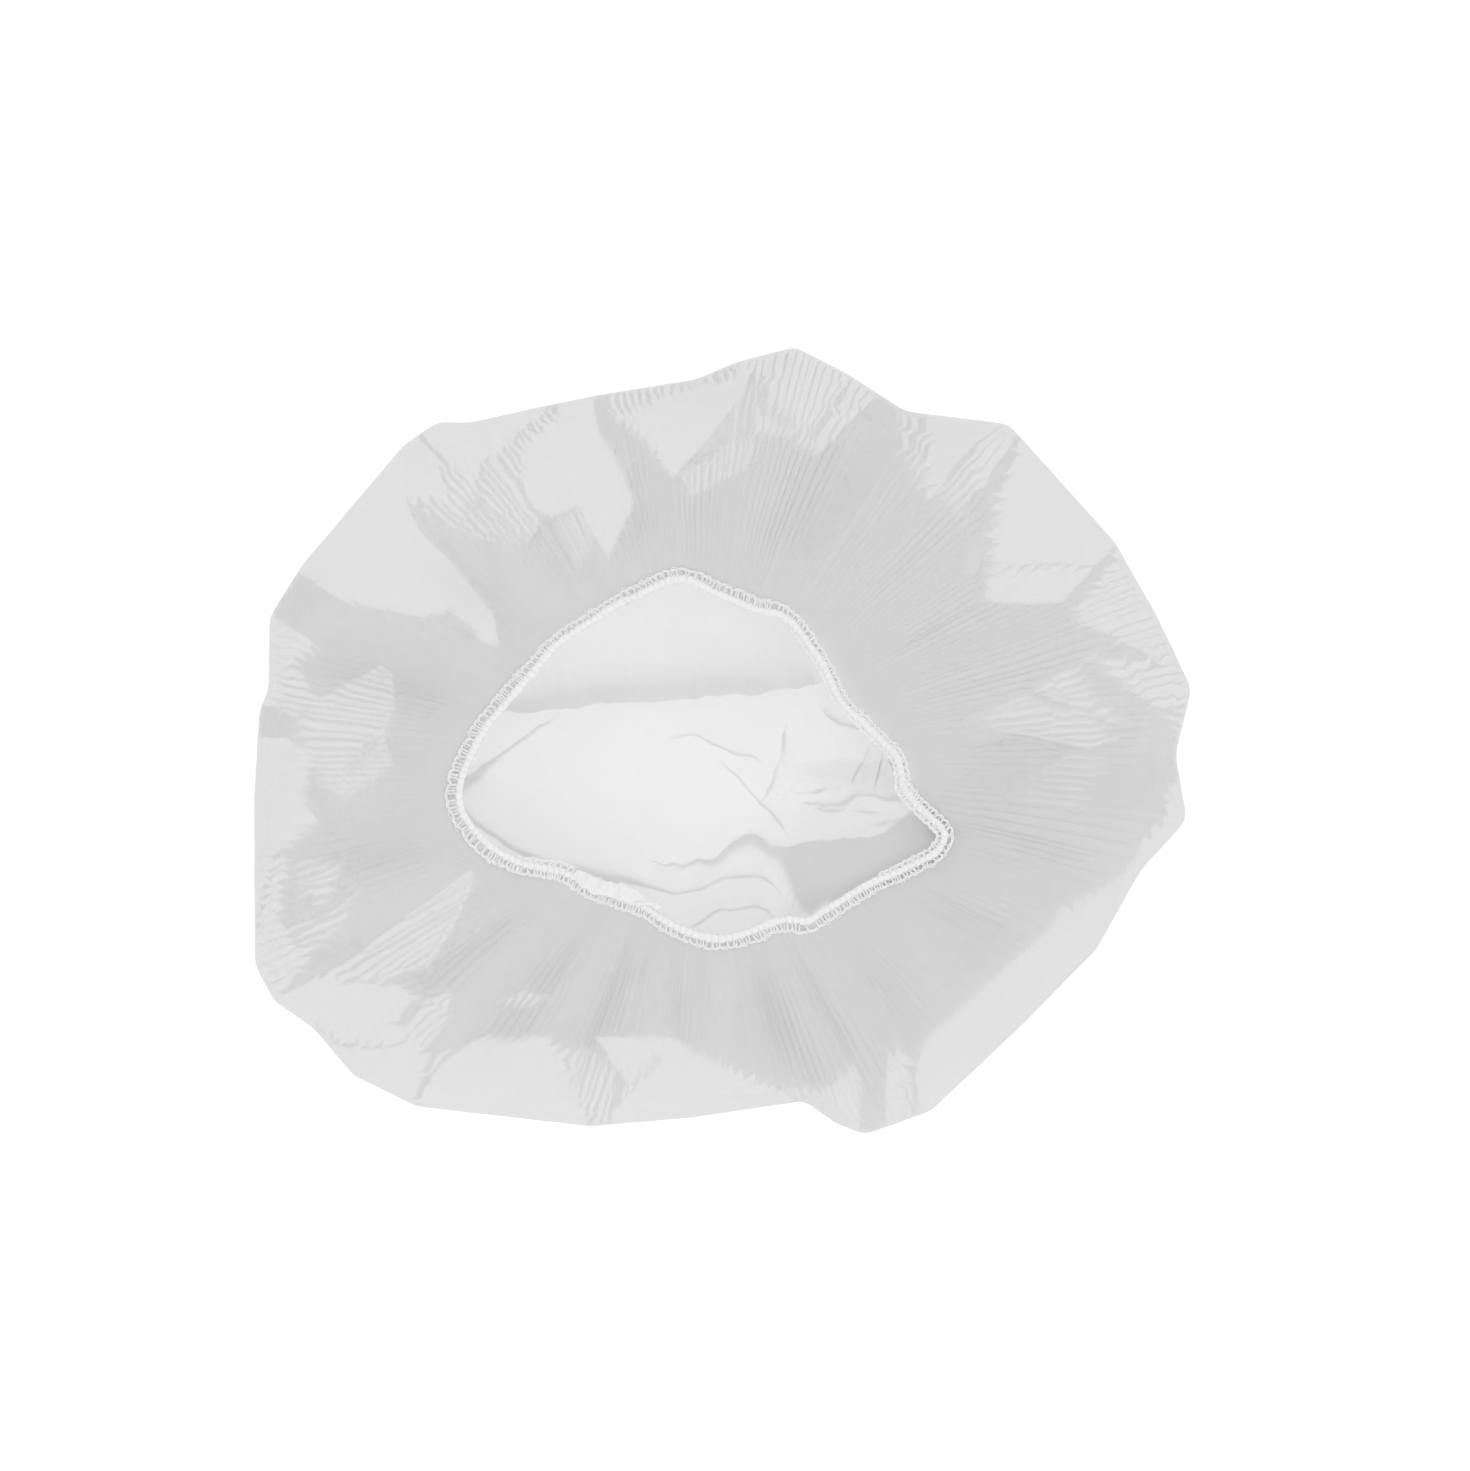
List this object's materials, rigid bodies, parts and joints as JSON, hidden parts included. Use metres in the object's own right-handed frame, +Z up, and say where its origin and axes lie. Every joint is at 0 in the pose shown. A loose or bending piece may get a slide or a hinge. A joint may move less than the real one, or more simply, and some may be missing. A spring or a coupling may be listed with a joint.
{
  "type": "disposable bouffant nurse cap",
  "caption": "Puffed round cap of thin white nonwoven cloth, gathered onto an elastic loop by an overlock seam, lying on its crown with the mouth open upwards.",
  "frame": {"origin": "on the surface that the crown rests on, below the middle of the cap's outline", "axes": "+X along the cap's longest extent, +Z up out of the mouth, +Y across the cap"},
  "size_m": [0.3232, 0.2714, 0.043],
  "materials": {
    "nonwoven_cloth": "thin translucent white spunbond nonwoven, matt, finely creased",
    "elastic": "white thread-covered elastic, slightly fuzzy",
    "seam_thread": "white polyester overlock thread"
  },
  "bodies": {
    "root": {"cap_cloth": "nonwoven_cloth", "elastic_band": "elastic", "elastic_splice": "elastic", "overlock_seam": "seam_thread"}
  },
  "joints": []
}
